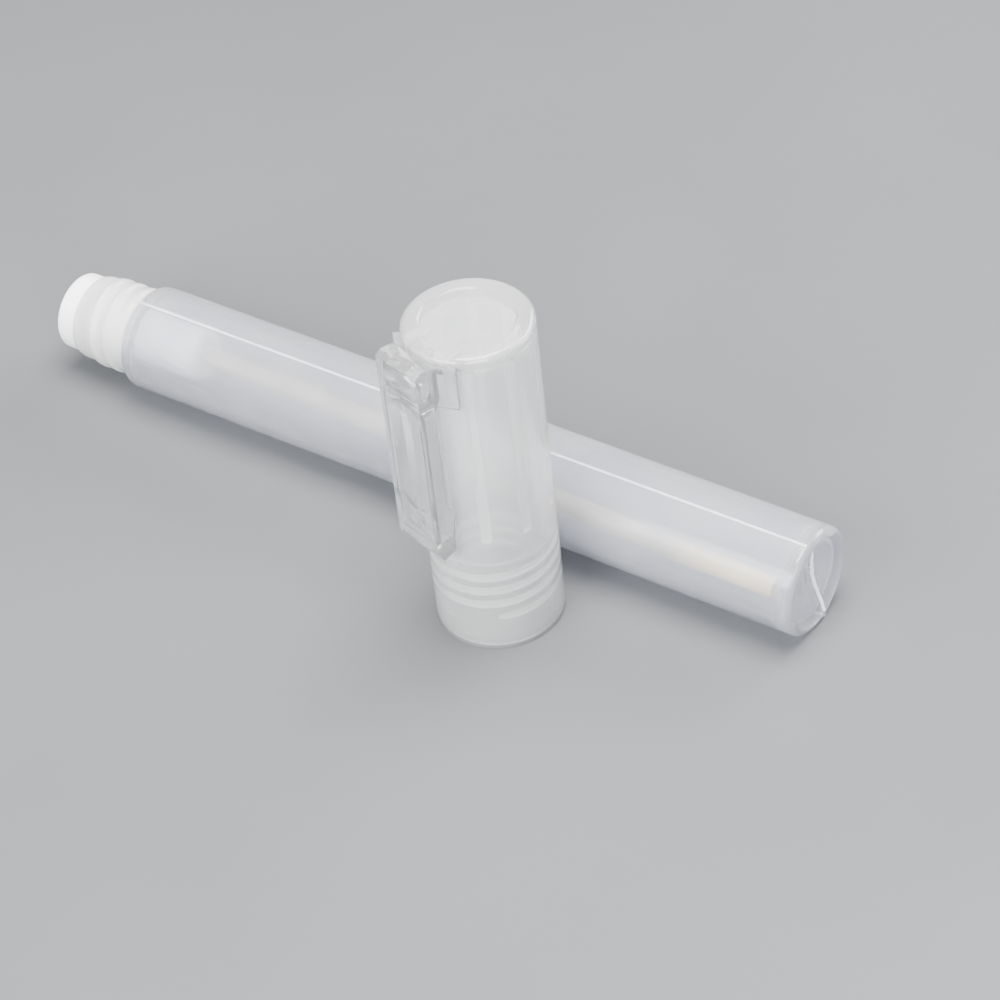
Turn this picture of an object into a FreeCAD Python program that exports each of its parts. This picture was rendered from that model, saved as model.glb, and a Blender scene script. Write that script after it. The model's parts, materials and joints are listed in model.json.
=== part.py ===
"""Pocket mist sprayer, pen style: a frosted refillable bottle that lies on its side, with a finger pump
in its neck, and its screw cap with a clear pocket clip standing mouth down beside it.

Row frame, millimetres: +X runs along the bottle towards its base, +Z is up, and the origin is on the
surface under the middle of the whole outline. Pieces of the bottle are drawn with X as the distance from
the bottle's base towards the pump, and turned round when they are placed. Pieces of the cap are drawn with
Z up from the cap's mouth and the clip on the -Y side.
"""

import FreeCAD, Part
import math
import os

import Sketcher
from FreeCAD import Placement, Rotation, Vector

DIMENSIONS = {
    # bottle
    "body_radius": 6.8,
    "body_wall": 0.9,
    "base_thickness": 1.1,
    "base_recess": 0.9,
    "base_ring_inner": 5.0,
    "base_rounding": 1.1,
    "shoulder_start": 98.3,
    "shoulder_end": 99.2,
    "shoulder_rounding": 1.2,
    # neck and its screw thread
    "neck_root_radius": 5.6,
    "neck_crest_radius": 5.88,
    "thread_pitch": 2.1,
    "neck_first_crest": 100.6,
    "neck_lip_start": 106.6,
    "neck_end": 107.5,
    "neck_lip_radius": 5.42,
    "neck_mouth_bore": 5.16,
    "neck_ledge": 103.5,
    "neck_throat_bore": 4.4,
    "ridge_half_foot": 0.7,
    "ridge_half_crest": 0.25,
    # parts held in the neck
    "gasket_height": 0.3,
    "gasket_radius": 5.1,
    "gasket_hole": 4.45,
    "flange_radius": 5.1,
    "flange_height": 0.6,
    "retainer_radius": 5.14,
    "retainer_height": 0.8,
    "retainer_hole": 1.55,
    # pump housing
    "housing_radius": 3.45,
    "housing_bottom": 89.3,
    "housing_rounding": 0.8,
    "cylinder_bore": 2.75,
    "cylinder_floor": 95.2,
    "valve_chamber_radius": 0.95,
    "valve_chamber_top": 94.6,
    "valve_mouth_radius": 0.7,
    "valve_seat_top": 93.5,
    "inlet_radius": 0.45,
    "dip_socket_end": 92.3,
    # moving pump parts
    "stem_radius": 1.4,
    "stem_bore": 0.5,
    "stem_bottom": 101.6,
    "stem_top": 109.0,
    "stem_clearance": 0.02,
    "seal_bottom": 103.5,
    "piston_radius": 2.7,
    "piston_top": 103.4,
    "piston_height": 2.0,
    "piston_lip": 0.35,
    "poppet_flange_radius": 2.2,
    "poppet_flange_height": 0.5,
    "poppet_guide_radius": 1.1,
    "poppet_guide_length": 2.6,
    "poppet_pin_radius": 0.42,
    "poppet_pin_length": 1.4,
    "spring_wire": 0.45,
    "spring_radius": 1.75,
    "spring_turns": 5.0,
    "ball_radius": 0.8,
    "ball_gap": 0.02,
    # actuator button and its nozzle
    "actuator_radius": 5.06,
    "actuator_bottom": 107.0,
    "actuator_top": 110.46,
    "actuator_rounding": 0.46,
    "actuator_wall": 0.75,
    "actuator_roof": 0.85,
    "boss_radius": 2.1,
    "nozzle_centre": 109.2,
    "nozzle_radius": 0.85,
    "nozzle_depth": 1.0,
    "nozzle_inset": 0.12,
    "nozzle_dish_radius": 0.45,
    "nozzle_dish_depth": 0.35,
    "orifice_radius": 0.15,
    "bridge_half_width": 1.15,
    "bridge_bottom": 108.2,
    "channel_radius": 0.3,
    # dip tube
    "tube_radius": 1.2,
    "tube_bore": 0.75,
    "tube_end": 3.0,
    "tube_straight": 12.0,
    "tube_offset": 4.6,
    "tube_bend_start": 74.0,
    "tube_bend_radius": 90.0,
    "tube_roll": 20.0,
    # cap
    "cap_height": 44.0,
    "cap_mouth_radius": 7.73,
    "cap_top_radius": 7.63,
    "cap_rounding": 0.84,
    "cap_lead_in_radius": 6.2,
    "cap_lead_in_height": 3.4,
    "cap_root_radius": 6.02,
    "cap_thread_radius": 5.72,
    "cap_first_crest": 4.3,
    "cap_ledge": 12.8,
    "cap_upper_bore": 5.75,
    "cap_roof": 2.4,
    "cap_disc_radius": 5.7,
    "cap_disc_depth": 0.2,
    "rib_width": 0.9,
    "rib_depth": 0.55,
    "rib_bottom": 16.0,
    "rib_count": 8,
    # pocket clip, measured out from the cap's axis
    "clip_outer": 10.8,
    "clip_width": 6.66,
    "clip_web": 0.9,
    "clip_inner": 8.5,
    "clip_flange": 0.85,
    "clip_bottom": 16.1,
    "clip_bevel": 1.3,
    "foot_height": 2.4,
    "foot_inner": 8.1,
    "foot_slope": 0.5,
    "ear_reach": 7.5,
    "ear_bottom": 17.9,
    "ear_middle": 21.0,
    "ear_top": 23.1,
    "saddle_inner": 7.66,
    "saddle_outer": 8.45,
    "saddle_bottom": 37.6,
    "saddle_angle": 76.0,
    "clip_root_bottom": 38.0,
    "clip_root_gap": 0.1,
    "prong_offset": 2.95,
    "prong_width": 1.0,
    "prong_height": 1.0,
    "prong_top": 43.2,
    "prong_overrun": 0.8,
    # how the two lie beside each other
    "cap_from_base": 35.2,
    "cap_spacing": 14.8,
    "cap_turn": 13.8,
}


class Size(float):
    """A length in millimetres that remembers the spreadsheet formula behind it."""

    def __new__(cls, value, text):
        size = float.__new__(cls, value)
        size.text = text
        return size

    def __add__(self, other):
        return Size(float(self) + float(other), f"({self.text} + {formula(other)})")

    def __sub__(self, other):
        return Size(float(self) - float(other), f"({self.text} - {formula(other)})")

    def __mul__(self, other):
        return Size(float(self) * float(other), f"({self.text} * {formula(other)})")

    def __truediv__(self, other):
        return Size(float(self) / float(other), f"({self.text} / {formula(other)})")

    def __neg__(self):
        return Size(-float(self), f"(-{self.text})")


def formula(value):
    """The spreadsheet formula of a Size, or a plain number as text."""
    return value.text if isinstance(value, Size) else repr(float(value))


class Sizes:
    """Every driving dimension as an attribute, bound to its cell of the document's spreadsheet."""

    def __init__(self, document):
        self.sheet = document.addObject("Spreadsheet::Sheet", "Dimensions")
        for row, (alias, value) in enumerate(DIMENSIONS.items(), start=1):
            self.sheet.set(f"A{row}", alias)
            self.sheet.set(f"B{row}", str(value))
            self.sheet.setAlias(f"B{row}", alias)
            setattr(self, alias, Size(value, f"Dimensions.{alias}"))


def new_body(document, label):
    body = document.addObject("PartDesign::Body", label)
    body.Label = label
    return body


def origin_plane(body, role):
    return next(item for item in body.Origin.OriginFeatures if item.Role == role)


def new_sketch(body, name, role, lift=None):
    """A sketch on one of the body's origin planes, lifted off it along its normal by a Size."""
    sketch = body.newObject("Sketcher::SketchObject", name)
    sketch.AttachmentSupport = [(origin_plane(body, role), "")]
    sketch.MapMode = "FlatFace"
    if lift is not None:
        sketch.setExpression("AttachmentOffset.Base.z", formula(lift))
    return sketch


def pin_point(sketch, geometry, end, x, y):
    """Holds one end of a line at (x, y), with each distance bound to the spreadsheet."""
    for kind, axis, value in (("DistanceX", -2, x), ("DistanceY", -1, y)):
        if float(value) == 0.0:
            sketch.addConstraint(Sketcher.Constraint("PointOnObject", geometry, end, axis))
            continue
        number = sketch.addConstraint(Sketcher.Constraint(kind, -1, 1, geometry, end, float(value)))
        if isinstance(value, Size):
            sketch.setExpression(f"Constraints[{number}]", value.text)


def draw_outline(sketch, corners):
    """A closed outline of straight lines through the corners, each corner held by its two distances."""
    first = sketch.GeometryCount
    points = [Vector(float(x), float(y), 0) for x, y in corners]
    for index, point in enumerate(points):
        sketch.addGeometry(Part.LineSegment(point, points[(index + 1) % len(points)]), False)
    for index, (x, y) in enumerate(corners):
        following = first + (index + 1) % len(points)
        sketch.addConstraint(Sketcher.Constraint("Coincident", first + index, 2, following, 1))
        pin_point(sketch, first + index, 1, x, y)


def draw_rectangle(sketch, left, right, bottom, top):
    draw_outline(sketch, [(left, bottom), (right, bottom), (right, top), (left, top)])


def draw_circle(sketch, x, y, radius):
    centre = Vector(float(x), float(y), 0)
    circle = sketch.addGeometry(Part.Circle(centre, Vector(0, 0, 1), float(radius)), False)
    number = sketch.addConstraint(Sketcher.Constraint("Radius", circle, float(radius)))
    sketch.setExpression(f"Constraints[{number}]", formula(radius))
    pin_point(sketch, circle, 3, x, y)


def revolve_along_x(body, corners):
    """Turns an outline of (distance along X, radius) corners right round the X axis."""
    sketch = new_sketch(body, "profile", "XY_Plane")
    draw_outline(sketch, corners)
    turned = body.newObject("PartDesign::Revolution", "turned")
    turned.Profile = sketch
    turned.ReferenceAxis = (sketch, ["H_Axis"])
    turned.Angle = 360
    return turned


def revolve_about_z(body, corners):
    """Turns an outline of (radius, height) corners right round the Z axis."""
    sketch = new_sketch(body, "profile", "XZ_Plane")
    draw_outline(sketch, corners)
    turned = body.newObject("PartDesign::Revolution", "turned")
    turned.Profile = sketch
    turned.ReferenceAxis = (sketch, ["V_Axis"])
    turned.Angle = 360
    return turned


def circle_edges(shape, rings):
    """Names of the round edges whose (distance from the origin along the axis, radius) is in rings."""
    names = []
    for number, edge in enumerate(shape.Edges, start=1):
        if edge.Curve.TypeId != "Part::GeomCircle":
            continue
        along = edge.Curve.Center.Length
        for ring_along, ring_radius in rings:
            if abs(along - float(ring_along)) < 1e-4 and abs(edge.Curve.Radius - float(ring_radius)) < 1e-4:
                names.append(f"Edge{number}")
    return names


def round_rings(body, feature, rings, radius):
    """Rounds the round edges of a turned piece that rings names."""
    body.Document.recompute()
    fillet = body.newObject("PartDesign::Fillet", "rounding")
    fillet.Base = (feature, circle_edges(feature.Shape, rings))
    fillet.setExpression("Radius", formula(radius))
    return fillet


def cut_through(body, sketch, name, length, reverse=False):
    """A pocket of a bound length that starts at its sketch."""
    pocket = body.newObject("PartDesign::Pocket", name)
    pocket.Profile = sketch
    pocket.Reversed = reverse
    pocket.setExpression("Length", formula(length))
    return pocket


def pad_out(body, sketch, name, length, reverse=False, midplane=False):
    """A pad of a bound length that starts at its sketch."""
    pad = body.newObject("PartDesign::Pad", name)
    pad.Profile = sketch
    pad.Reversed = reverse
    pad.Midplane = midplane
    pad.setExpression("Length", formula(length))
    return pad


def neck_ridge(size, crest):
    """The four corners of one thread ridge on the neck, seen in section."""
    return [
        (crest - size.ridge_half_foot, size.neck_root_radius),
        (crest - size.ridge_half_crest, size.neck_crest_radius),
        (crest + size.ridge_half_crest, size.neck_crest_radius),
        (crest + size.ridge_half_foot, size.neck_root_radius),
    ]


def make_bottle(document, size):
    """Blown bottle: hollow base, rounded shoulder, threaded neck whose bore steps in at the pump's ledge."""
    body = new_body(document, "bottle")
    bore = size.body_radius - size.body_wall
    inner_base = size.base_recess + size.base_thickness
    corners = [
        (size.base_recess, Size(0.0, "0")),
        (Size(0.0, "0"), size.base_ring_inner),
        (Size(0.0, "0"), size.body_radius),
        (size.shoulder_start, size.body_radius),
        (size.shoulder_end, size.neck_root_radius),
    ]
    for turn in range(3):
        corners += neck_ridge(size, size.neck_first_crest + size.thread_pitch * turn)
    corners += [
        (size.neck_lip_start, size.neck_root_radius),
        (size.neck_end, size.neck_lip_radius),
        (size.neck_end, size.neck_mouth_bore),
        (size.neck_ledge, size.neck_mouth_bore),
        (size.neck_ledge, size.neck_throat_bore),
        (size.shoulder_end - size.body_wall, size.neck_throat_bore),
        (size.shoulder_start - size.body_wall, bore),
        (inner_base, bore),
        (inner_base, Size(0.0, "0")),
    ]
    turned = revolve_along_x(body, corners)
    base = round_rings(body, turned, [(0.0, size.body_radius)], size.base_rounding)
    round_rings(body, base, [(size.shoulder_start, size.body_radius)], size.shoulder_rounding)
    return body


def ring_along_x(body, start, end, outer, hole):
    """A plain ring between two distances along X."""
    return revolve_along_x(body, [(start, hole), (end, hole), (end, outer), (start, outer)])


def make_neck_gasket(document, size):
    body = new_body(document, "neck_gasket")
    start = size.neck_ledge
    ring_along_x(body, start, start + size.gasket_height, size.gasket_radius, size.gasket_hole)
    return body


def make_pump_housing(document, size):
    """Pump cylinder with a flange in the neck, a ball valve at its floor and a socket for the dip tube."""
    body = new_body(document, "pump_housing")
    flange_start = size.neck_ledge + size.gasket_height
    flange_end = flange_start + size.flange_height
    seat_bottom = size.valve_seat_top - size.valve_chamber_radius + size.inlet_radius
    turned = revolve_along_x(
        body,
        [
            (size.housing_bottom, size.tube_radius),
            (size.housing_bottom, size.housing_radius),
            (flange_start, size.housing_radius),
            (flange_start, size.flange_radius),
            (flange_end, size.flange_radius),
            (flange_end, size.cylinder_bore),
            (size.cylinder_floor, size.cylinder_bore),
            (size.cylinder_floor, size.valve_mouth_radius),
            (size.valve_chamber_top, size.valve_mouth_radius),
            (size.valve_chamber_top, size.valve_chamber_radius),
            (size.valve_seat_top, size.valve_chamber_radius),
            (seat_bottom, size.inlet_radius),
            (size.dip_socket_end, size.inlet_radius),
            (size.dip_socket_end, size.tube_radius),
        ],
    )
    round_rings(body, turned, [(size.housing_bottom, size.housing_radius)], size.housing_rounding)
    return body


def make_pump_retainer(document, size):
    """Disc pressed into the neck over the housing's flange; the stem runs through its hole."""
    body = new_body(document, "pump_retainer")
    start = size.neck_ledge + size.gasket_height + size.flange_height
    ring_along_x(body, start, start + size.retainer_height, size.retainer_radius, size.retainer_hole)
    return body


def make_stem_seal(document, size):
    """Soft ring in the mouth of the pump cylinder, close round the stem."""
    body = new_body(document, "stem_seal")
    end = size.neck_ledge + size.gasket_height + size.flange_height
    hole = size.stem_radius + size.stem_clearance
    ring_along_x(body, size.seal_bottom, end, size.cylinder_bore, hole)
    return body


def make_stem(document, size):
    body = new_body(document, "stem")
    ring_along_x(body, size.stem_bottom, size.stem_top, size.stem_radius, size.stem_bore)
    return body


def make_piston(document, size):
    """Piston on the stem's foot, waisted between two sealing lips."""
    body = new_body(document, "piston")
    bottom = size.piston_top - size.piston_height
    waist = size.piston_radius - size.piston_lip
    lip = size.piston_lip
    revolve_along_x(
        body,
        [
            (bottom, size.stem_bore),
            (bottom, size.piston_radius),
            (bottom + lip, size.piston_radius),
            (bottom + lip * 2, waist),
            (size.piston_top - lip * 2, waist),
            (size.piston_top - lip, size.piston_radius),
            (size.piston_top, size.piston_radius),
            (size.piston_top, size.stem_radius),
            (size.stem_bottom, size.stem_radius),
            (size.stem_bottom, size.stem_bore),
        ],
    )
    return body


def poppet_flange_top(size):
    return size.piston_top - size.piston_height


def make_poppet(document, size):
    """Outlet valve pin: its flange closes the piston from below and carries the spring."""
    body = new_body(document, "poppet")
    flange_top = poppet_flange_top(size)
    flange_bottom = flange_top - size.poppet_flange_height
    revolve_along_x(
        body,
        [
            (flange_bottom - size.poppet_guide_length, Size(0.0, "0")),
            (flange_bottom - size.poppet_guide_length, size.poppet_guide_radius),
            (flange_bottom, size.poppet_guide_radius),
            (flange_bottom, size.poppet_flange_radius),
            (flange_top, size.poppet_flange_radius),
            (flange_top, size.poppet_pin_radius),
            (flange_top + size.poppet_pin_length, size.poppet_pin_radius),
            (flange_top + size.poppet_pin_length, Size(0.0, "0")),
        ],
    )
    return body


def make_return_spring(document, size):
    """Helical spring between the cylinder's floor and the poppet's flange."""
    wire = float(size.spring_wire) / 2
    start = float(size.cylinder_floor) + wire
    end = float(poppet_flange_top(size) - size.poppet_flange_height) - wire
    pitch = (end - start) / float(size.spring_turns)
    coil = Part.makeHelix(pitch, end - start, float(size.spring_radius))
    section = Part.makeCircle(wire, Vector(float(size.spring_radius), 0, 0), Vector(0, 1, 0))
    shape = Part.Wire(coil.Edges).makePipeShell([Part.Wire(section)], True, True)
    spring = document.addObject("Part::Feature", "return_spring")
    spring.Label = "return_spring"
    spring.Shape = shape
    return spring, Placement(Vector(start, 0, 0), Rotation(Vector(0, 1, 0), 90))


def ball_centre(size):
    """Distance from the base to the centre of the ball as it rests on its 45 degree seat."""
    apex = size.valve_seat_top - size.valve_chamber_radius
    return apex + size.ball_radius * math.sqrt(2) + size.ball_gap


def make_inlet_ball(document, size):
    ball = document.addObject("Part::Sphere", "inlet_ball")
    ball.Label = "inlet_ball"
    ball.setExpression("Radius", formula(size.ball_radius))
    return ball, Placement(Vector(float(ball_centre(size)), 0, 0), Rotation())


def make_actuator(document, size):
    """Finger button: round shell, a boss for the stem, a bridge and the nozzle's well on its -Y side."""
    body = new_body(document, "actuator")
    roof = size.actuator_top - size.actuator_roof
    turned = revolve_along_x(
        body,
        [
            (size.actuator_bottom, size.actuator_radius - size.actuator_wall),
            (size.actuator_bottom, size.actuator_radius),
            (size.actuator_top, size.actuator_radius),
            (size.actuator_top, Size(0.0, "0")),
            (size.stem_top, Size(0.0, "0")),
            (size.stem_top, size.stem_radius),
            (size.actuator_bottom, size.stem_radius),
            (size.actuator_bottom, size.boss_radius),
            (roof, size.boss_radius),
            (roof, size.actuator_radius - size.actuator_wall),
        ],
    )
    round_rings(body, turned, [(size.actuator_top, size.actuator_radius)], size.actuator_rounding)
    bridge_sketch = new_sketch(body, "bridge_outline", "XZ_Plane", size.boss_radius * 0.85)
    draw_rectangle(
        bridge_sketch, size.bridge_bottom, roof + 0.1, -size.bridge_half_width, size.bridge_half_width
    )
    pad_out(body, bridge_sketch, "bridge", size.actuator_radius - size.actuator_wall - size.boss_radius * 0.7)
    well_sketch = new_sketch(body, "well_outline", "XZ_Plane", size.actuator_radius)
    draw_circle(well_sketch, size.nozzle_centre, 0.0, size.nozzle_radius)
    cut_through(body, well_sketch, "well", size.nozzle_depth + size.nozzle_inset)
    channel_sketch = new_sketch(body, "channel_outline", "XZ_Plane", size.actuator_radius)
    draw_circle(channel_sketch, size.nozzle_centre, 0.0, size.channel_radius)
    cut_through(body, channel_sketch, "channel", size.actuator_radius)
    riser_sketch = new_sketch(body, "riser_outline", "YZ_Plane", size.stem_top)
    draw_circle(riser_sketch, 0.0, 0.0, size.channel_radius)
    cut_through(body, riser_sketch, "riser", size.nozzle_centre - size.stem_top + 0.2, reverse=True)
    return body


def make_nozzle_insert(document, size):
    """Small round insert with a dished face and the spray hole, drawn along X from its face inwards."""
    body = new_body(document, "nozzle_insert")
    nothing = Size(0.0, "0")
    revolve_along_x(
        body,
        [
            (nothing, size.nozzle_dish_radius),
            (nothing, size.nozzle_radius),
            (size.nozzle_depth, size.nozzle_radius),
            (size.nozzle_depth, size.orifice_radius * 2),
            (size.nozzle_dish_depth * 2, size.orifice_radius),
            (size.nozzle_dish_depth, size.orifice_radius),
        ],
    )
    face = size.nozzle_inset - size.actuator_radius
    return body, Placement(Vector(float(size.nozzle_centre), float(face), 0), Rotation(Vector(0, 0, 1), 90))


def tube_path(size):
    """Corners of the dip tube's middle line: straight from its socket, then over to lie along the wall."""
    top = float(size.dip_socket_end)
    lie = float(size.tube_end + size.tube_straight)
    return [
        Vector(top, 0, 0),
        Vector(float(size.tube_bend_start), 0, 0),
        Vector(lie, float(size.tube_offset), 0),
        Vector(float(size.tube_end), float(size.tube_offset), 0),
    ]


def rounded_wire(points, radius):
    """Straight runs through the points, joined at inner points by arcs of the radius, or smaller ones."""
    edges = []
    start = points[0]
    for before, corner, after in zip(points, points[1:], points[2:]):
        into = (corner - before).normalize()
        out = (after - corner).normalize()
        half_turn = into.getAngle(out) / 2
        room = 0.45 * min((corner - before).Length, (after - corner).Length)
        setback = min(radius * math.tan(half_turn), room)
        bend = setback / math.tan(half_turn)
        leave = corner - into * setback
        rejoin = corner + out * setback
        towards = (out - into).normalize()
        middle = corner + towards * (bend / math.cos(half_turn) - bend)
        edges.append(Part.LineSegment(start, leave).toShape())
        edges.append(Part.Arc(leave, middle, rejoin).toShape())
        print(f"dip tube bend radius {bend:.1f} mm")
        start = rejoin
    edges.append(Part.LineSegment(start, points[-1]).toShape())
    return Part.Wire(edges)


def make_dip_tube(document, size):
    """Suction tube: pushed into the housing's foot, curved over to the side wall, open near the base."""
    path = rounded_wire(tube_path(size), float(size.tube_bend_radius))
    start = path.Vertexes[0].Point
    outside = Part.Wire(Part.makeCircle(float(size.tube_radius), start, Vector(1, 0, 0)))
    inside = Part.Wire(Part.makeCircle(float(size.tube_bore), start, Vector(1, 0, 0)))
    shape = path.makePipeShell([outside], True, False).cut(path.makePipeShell([inside], True, False))
    section = math.pi * (float(size.tube_radius) ** 2 - float(size.tube_bore) ** 2)
    print(f"dip tube volume {shape.Volume:.2f}, section times length {section * path.Length:.2f}")
    tube = document.addObject("Part::Feature", "dip_tube")
    tube.Label = "dip_tube"
    tube.Shape = shape
    return tube, Placement(Vector(0, 0, 0), Rotation(Vector(1, 0, 0), float(size.tube_roll)))


def cap_ridge(size, crest):
    """The four corners of one thread ridge inside the cap, seen in section."""
    return [
        (size.cap_root_radius, crest - size.ridge_half_foot),
        (size.cap_thread_radius, crest - size.ridge_half_crest),
        (size.cap_thread_radius, crest + size.ridge_half_crest),
        (size.cap_root_radius, crest + size.ridge_half_foot),
    ]


def make_cap_shell(document, size):
    """Screw cap: lead-in, thread, a ledge, then a ribbed hollow under a roof with two slots for the clip."""
    body = new_body(document, "cap_shell")
    nothing = Size(0.0, "0")
    roof_bottom = size.cap_height - size.cap_roof
    disc_height = size.cap_height - size.cap_disc_depth
    corners = [
        (size.cap_lead_in_radius, nothing),
        (size.cap_mouth_radius, nothing),
        (size.cap_top_radius, size.cap_height),
        (size.cap_disc_radius, size.cap_height),
        (size.cap_disc_radius - size.cap_disc_depth, disc_height),
        (nothing, disc_height),
        (nothing, roof_bottom),
        (size.cap_upper_bore, roof_bottom),
        (size.cap_upper_bore, size.cap_ledge),
        (size.cap_root_radius, size.cap_ledge - 0.4),
    ]
    for turn in reversed(range(4)):
        corners += reversed(cap_ridge(size, size.cap_first_crest + size.thread_pitch * turn))
    corners.append((size.cap_root_radius, size.cap_lead_in_height))
    corners.append((size.cap_lead_in_radius, size.cap_lead_in_height - 0.2))
    turned = revolve_about_z(body, corners)
    round_rings(body, turned, [(size.cap_height, size.cap_top_radius)], size.cap_rounding)
    rib_sketch = new_sketch(body, "rib_outline", "XY_Plane", size.rib_bottom)
    inner = size.cap_upper_bore - size.rib_depth
    outer = size.cap_upper_bore + 0.3
    draw_rectangle(rib_sketch, inner, outer, -size.rib_width / 2, size.rib_width / 2)
    rib = pad_out(body, rib_sketch, "rib", roof_bottom - size.rib_bottom + 0.2)
    ribs = body.newObject("PartDesign::PolarPattern", "ribs")
    ribs.Originals = [rib]
    ribs.Axis = (rib_sketch, ["N_Axis"])
    ribs.Angle = 360
    ribs.setExpression("Occurrences", formula(size.rib_count))
    body.Tip = ribs
    slot_sketch = new_sketch(body, "slot_outline", "XZ_Plane", size.cap_mouth_radius)
    for side in (-1, 1):
        centre = size.prong_offset * side
        draw_rectangle(
            slot_sketch,
            centre - size.prong_width / 2,
            centre + size.prong_width / 2,
            size.prong_top - size.prong_height,
            size.prong_top,
        )
    cut_through(body, slot_sketch, "slots", size.cap_mouth_radius + size.prong_overrun)
    return body


def make_clip_root(document, size):
    """Top of the clip: a block on a saddle that hugs the cap, with two prongs that sit in the cap's roof."""
    body = new_body(document, "clip_root")
    half = size.clip_width / 2
    block_sketch = new_sketch(body, "block_outline", "YZ_Plane")
    draw_outline(
        block_sketch,
        [
            (-size.clip_outer, size.clip_root_bottom),
            (-size.clip_inner, size.clip_root_bottom),
            (-size.cap_mouth_radius, size.clip_root_bottom + 1.5),
            (-size.cap_mouth_radius, size.cap_height - 0.8),
            (-size.clip_outer + 0.8, size.cap_height),
            (-size.clip_outer, size.cap_height - 0.5),
        ],
    )
    pad_out(body, block_sketch, "block", half * 2, midplane=True)
    window_sketch = new_sketch(body, "window_outline", "XZ_Plane", size.clip_outer - size.clip_web)
    inside = half - size.clip_flange
    draw_rectangle(window_sketch, -inside, inside, size.clip_root_bottom + 1.9, size.prong_top - 1.6)
    cut_through(body, window_sketch, "window", size.clip_outer)
    prong_sketch = new_sketch(body, "prong_outline", "XZ_Plane", size.cap_mouth_radius)
    for side in (-1, 1):
        centre = size.prong_offset * side
        draw_rectangle(
            prong_sketch,
            centre - size.prong_width / 2,
            centre + size.prong_width / 2,
            size.prong_top - size.prong_height,
            size.prong_top,
        )
    pad_out(body, prong_sketch, "prongs", size.cap_mouth_radius + size.prong_overrun, reverse=True)
    saddle_sketch = new_sketch(body, "saddle_outline", "YZ_Plane")
    draw_rectangle(
        saddle_sketch, -size.saddle_outer, -size.saddle_inner, size.saddle_bottom, size.prong_top
    )
    saddle = body.newObject("PartDesign::Revolution", "saddle")
    saddle.Profile = saddle_sketch
    saddle.ReferenceAxis = (saddle_sketch, ["V_Axis"])
    saddle.Midplane = True
    saddle.setExpression("Angle", formula(size.saddle_angle))
    return body


def ear_outline(size):
    """Swelling of one flange of the clip towards the cap, seen from the side."""
    rooted = -size.clip_inner - 0.3
    return [
        (rooted, size.ear_bottom),
        (-size.foot_inner, size.ear_bottom),
        (-size.ear_reach, size.ear_middle - 0.5),
        (-size.ear_reach, size.ear_middle + 0.5),
        (-size.clip_inner, size.ear_top),
        (rooted, size.ear_top),
    ]


def make_clip_arm(document, size):
    """Springy arm of the clip: a web, bevelled at its foot, and two flanges that swell into ears."""
    body = new_body(document, "clip_arm")
    half = size.clip_width / 2
    top = size.clip_root_bottom - size.clip_root_gap
    side_sketch = new_sketch(body, "side_outline", "YZ_Plane")
    draw_outline(
        side_sketch,
        [
            (-size.clip_outer + size.clip_bevel * 0.6, size.clip_bottom),
            (-size.foot_inner, size.clip_bottom + size.foot_slope),
            (-size.foot_inner, size.ear_bottom),
            (-size.clip_inner, size.clip_bottom + size.foot_height),
            (-size.clip_inner, top),
            (-size.clip_outer, top),
            (-size.clip_outer, size.clip_bottom + size.clip_bevel),
        ],
    )
    pad_out(body, side_sketch, "arm", half * 2, midplane=True)
    trough_sketch = new_sketch(body, "trough_outline", "XZ_Plane", size.clip_outer - size.clip_web)
    inside = half - size.clip_flange
    draw_rectangle(trough_sketch, -inside, inside, size.clip_bottom + size.foot_height, top - 1.0)
    cut_through(body, trough_sketch, "trough", size.clip_outer)
    for name, lift, reverse in (("right_ear", inside, False), ("left_ear", -inside, True)):
        ear_sketch = new_sketch(body, name + "_outline", "YZ_Plane", lift)
        draw_outline(ear_sketch, ear_outline(size))
        pad_out(body, ear_sketch, name, size.clip_flange, reverse=reverse)
    return body


def place_pieces(size, bottle_pieces, cap_pieces):
    """Lays the bottle's pieces along X and stands the cap's pieces beside them, round one middle point."""
    reach = float(size.clip_outer) * math.cos(math.radians(float(size.cap_turn)))
    reach += float(size.clip_width) / 2 * math.sin(math.radians(float(size.cap_turn)))
    front = float(size.cap_spacing) + reach
    radius = float(size.body_radius)
    bottle_y = (front - radius) / 2
    base_x = float(size.actuator_top) / 2
    bottle = Placement(Vector(base_x, bottle_y, radius), Rotation(Vector(0, 0, 1), 180))
    cap_x = base_x - float(size.cap_from_base)
    cap_at = Vector(cap_x, bottle_y - float(size.cap_spacing), 0)
    cap = Placement(cap_at, Rotation(Vector(0, 0, 1), -float(size.cap_turn)))
    for piece, own in bottle_pieces:
        piece.Placement = bottle.multiply(own)
    for piece, own in cap_pieces:
        piece.Placement = cap.multiply(own)
    print(f"base_x {base_x:.3f}, bottle_y {bottle_y:.4f}, cap at {cap_x:.3f}, {cap_at.y:.4f}")


def check_and_export(document, pieces):
    """Stops if anything failed to compute, then writes each piece to its own file."""
    for item in document.Objects:
        if "Invalid" in item.State or "Error" in item.State:
            raise RuntimeError(f"{item.Label} failed: {item.State}")
    for piece in pieces:
        if piece.Shape.isNull() or not piece.Shape.isValid():
            raise RuntimeError(f"{piece.Label} has no valid shape")
    for piece in pieces:
        piece.Shape.exportStep(os.path.join("parts", piece.Label + ".step"))
        print(f"{piece.Label}: {piece.Shape.Volume:.2f} mm3, {len(piece.Shape.Solids)} solid")


def with_placement(made):
    """A maker gives back its piece, or its piece with a placement of its own."""
    return made if isinstance(made, tuple) else (made, Placement())


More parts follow.
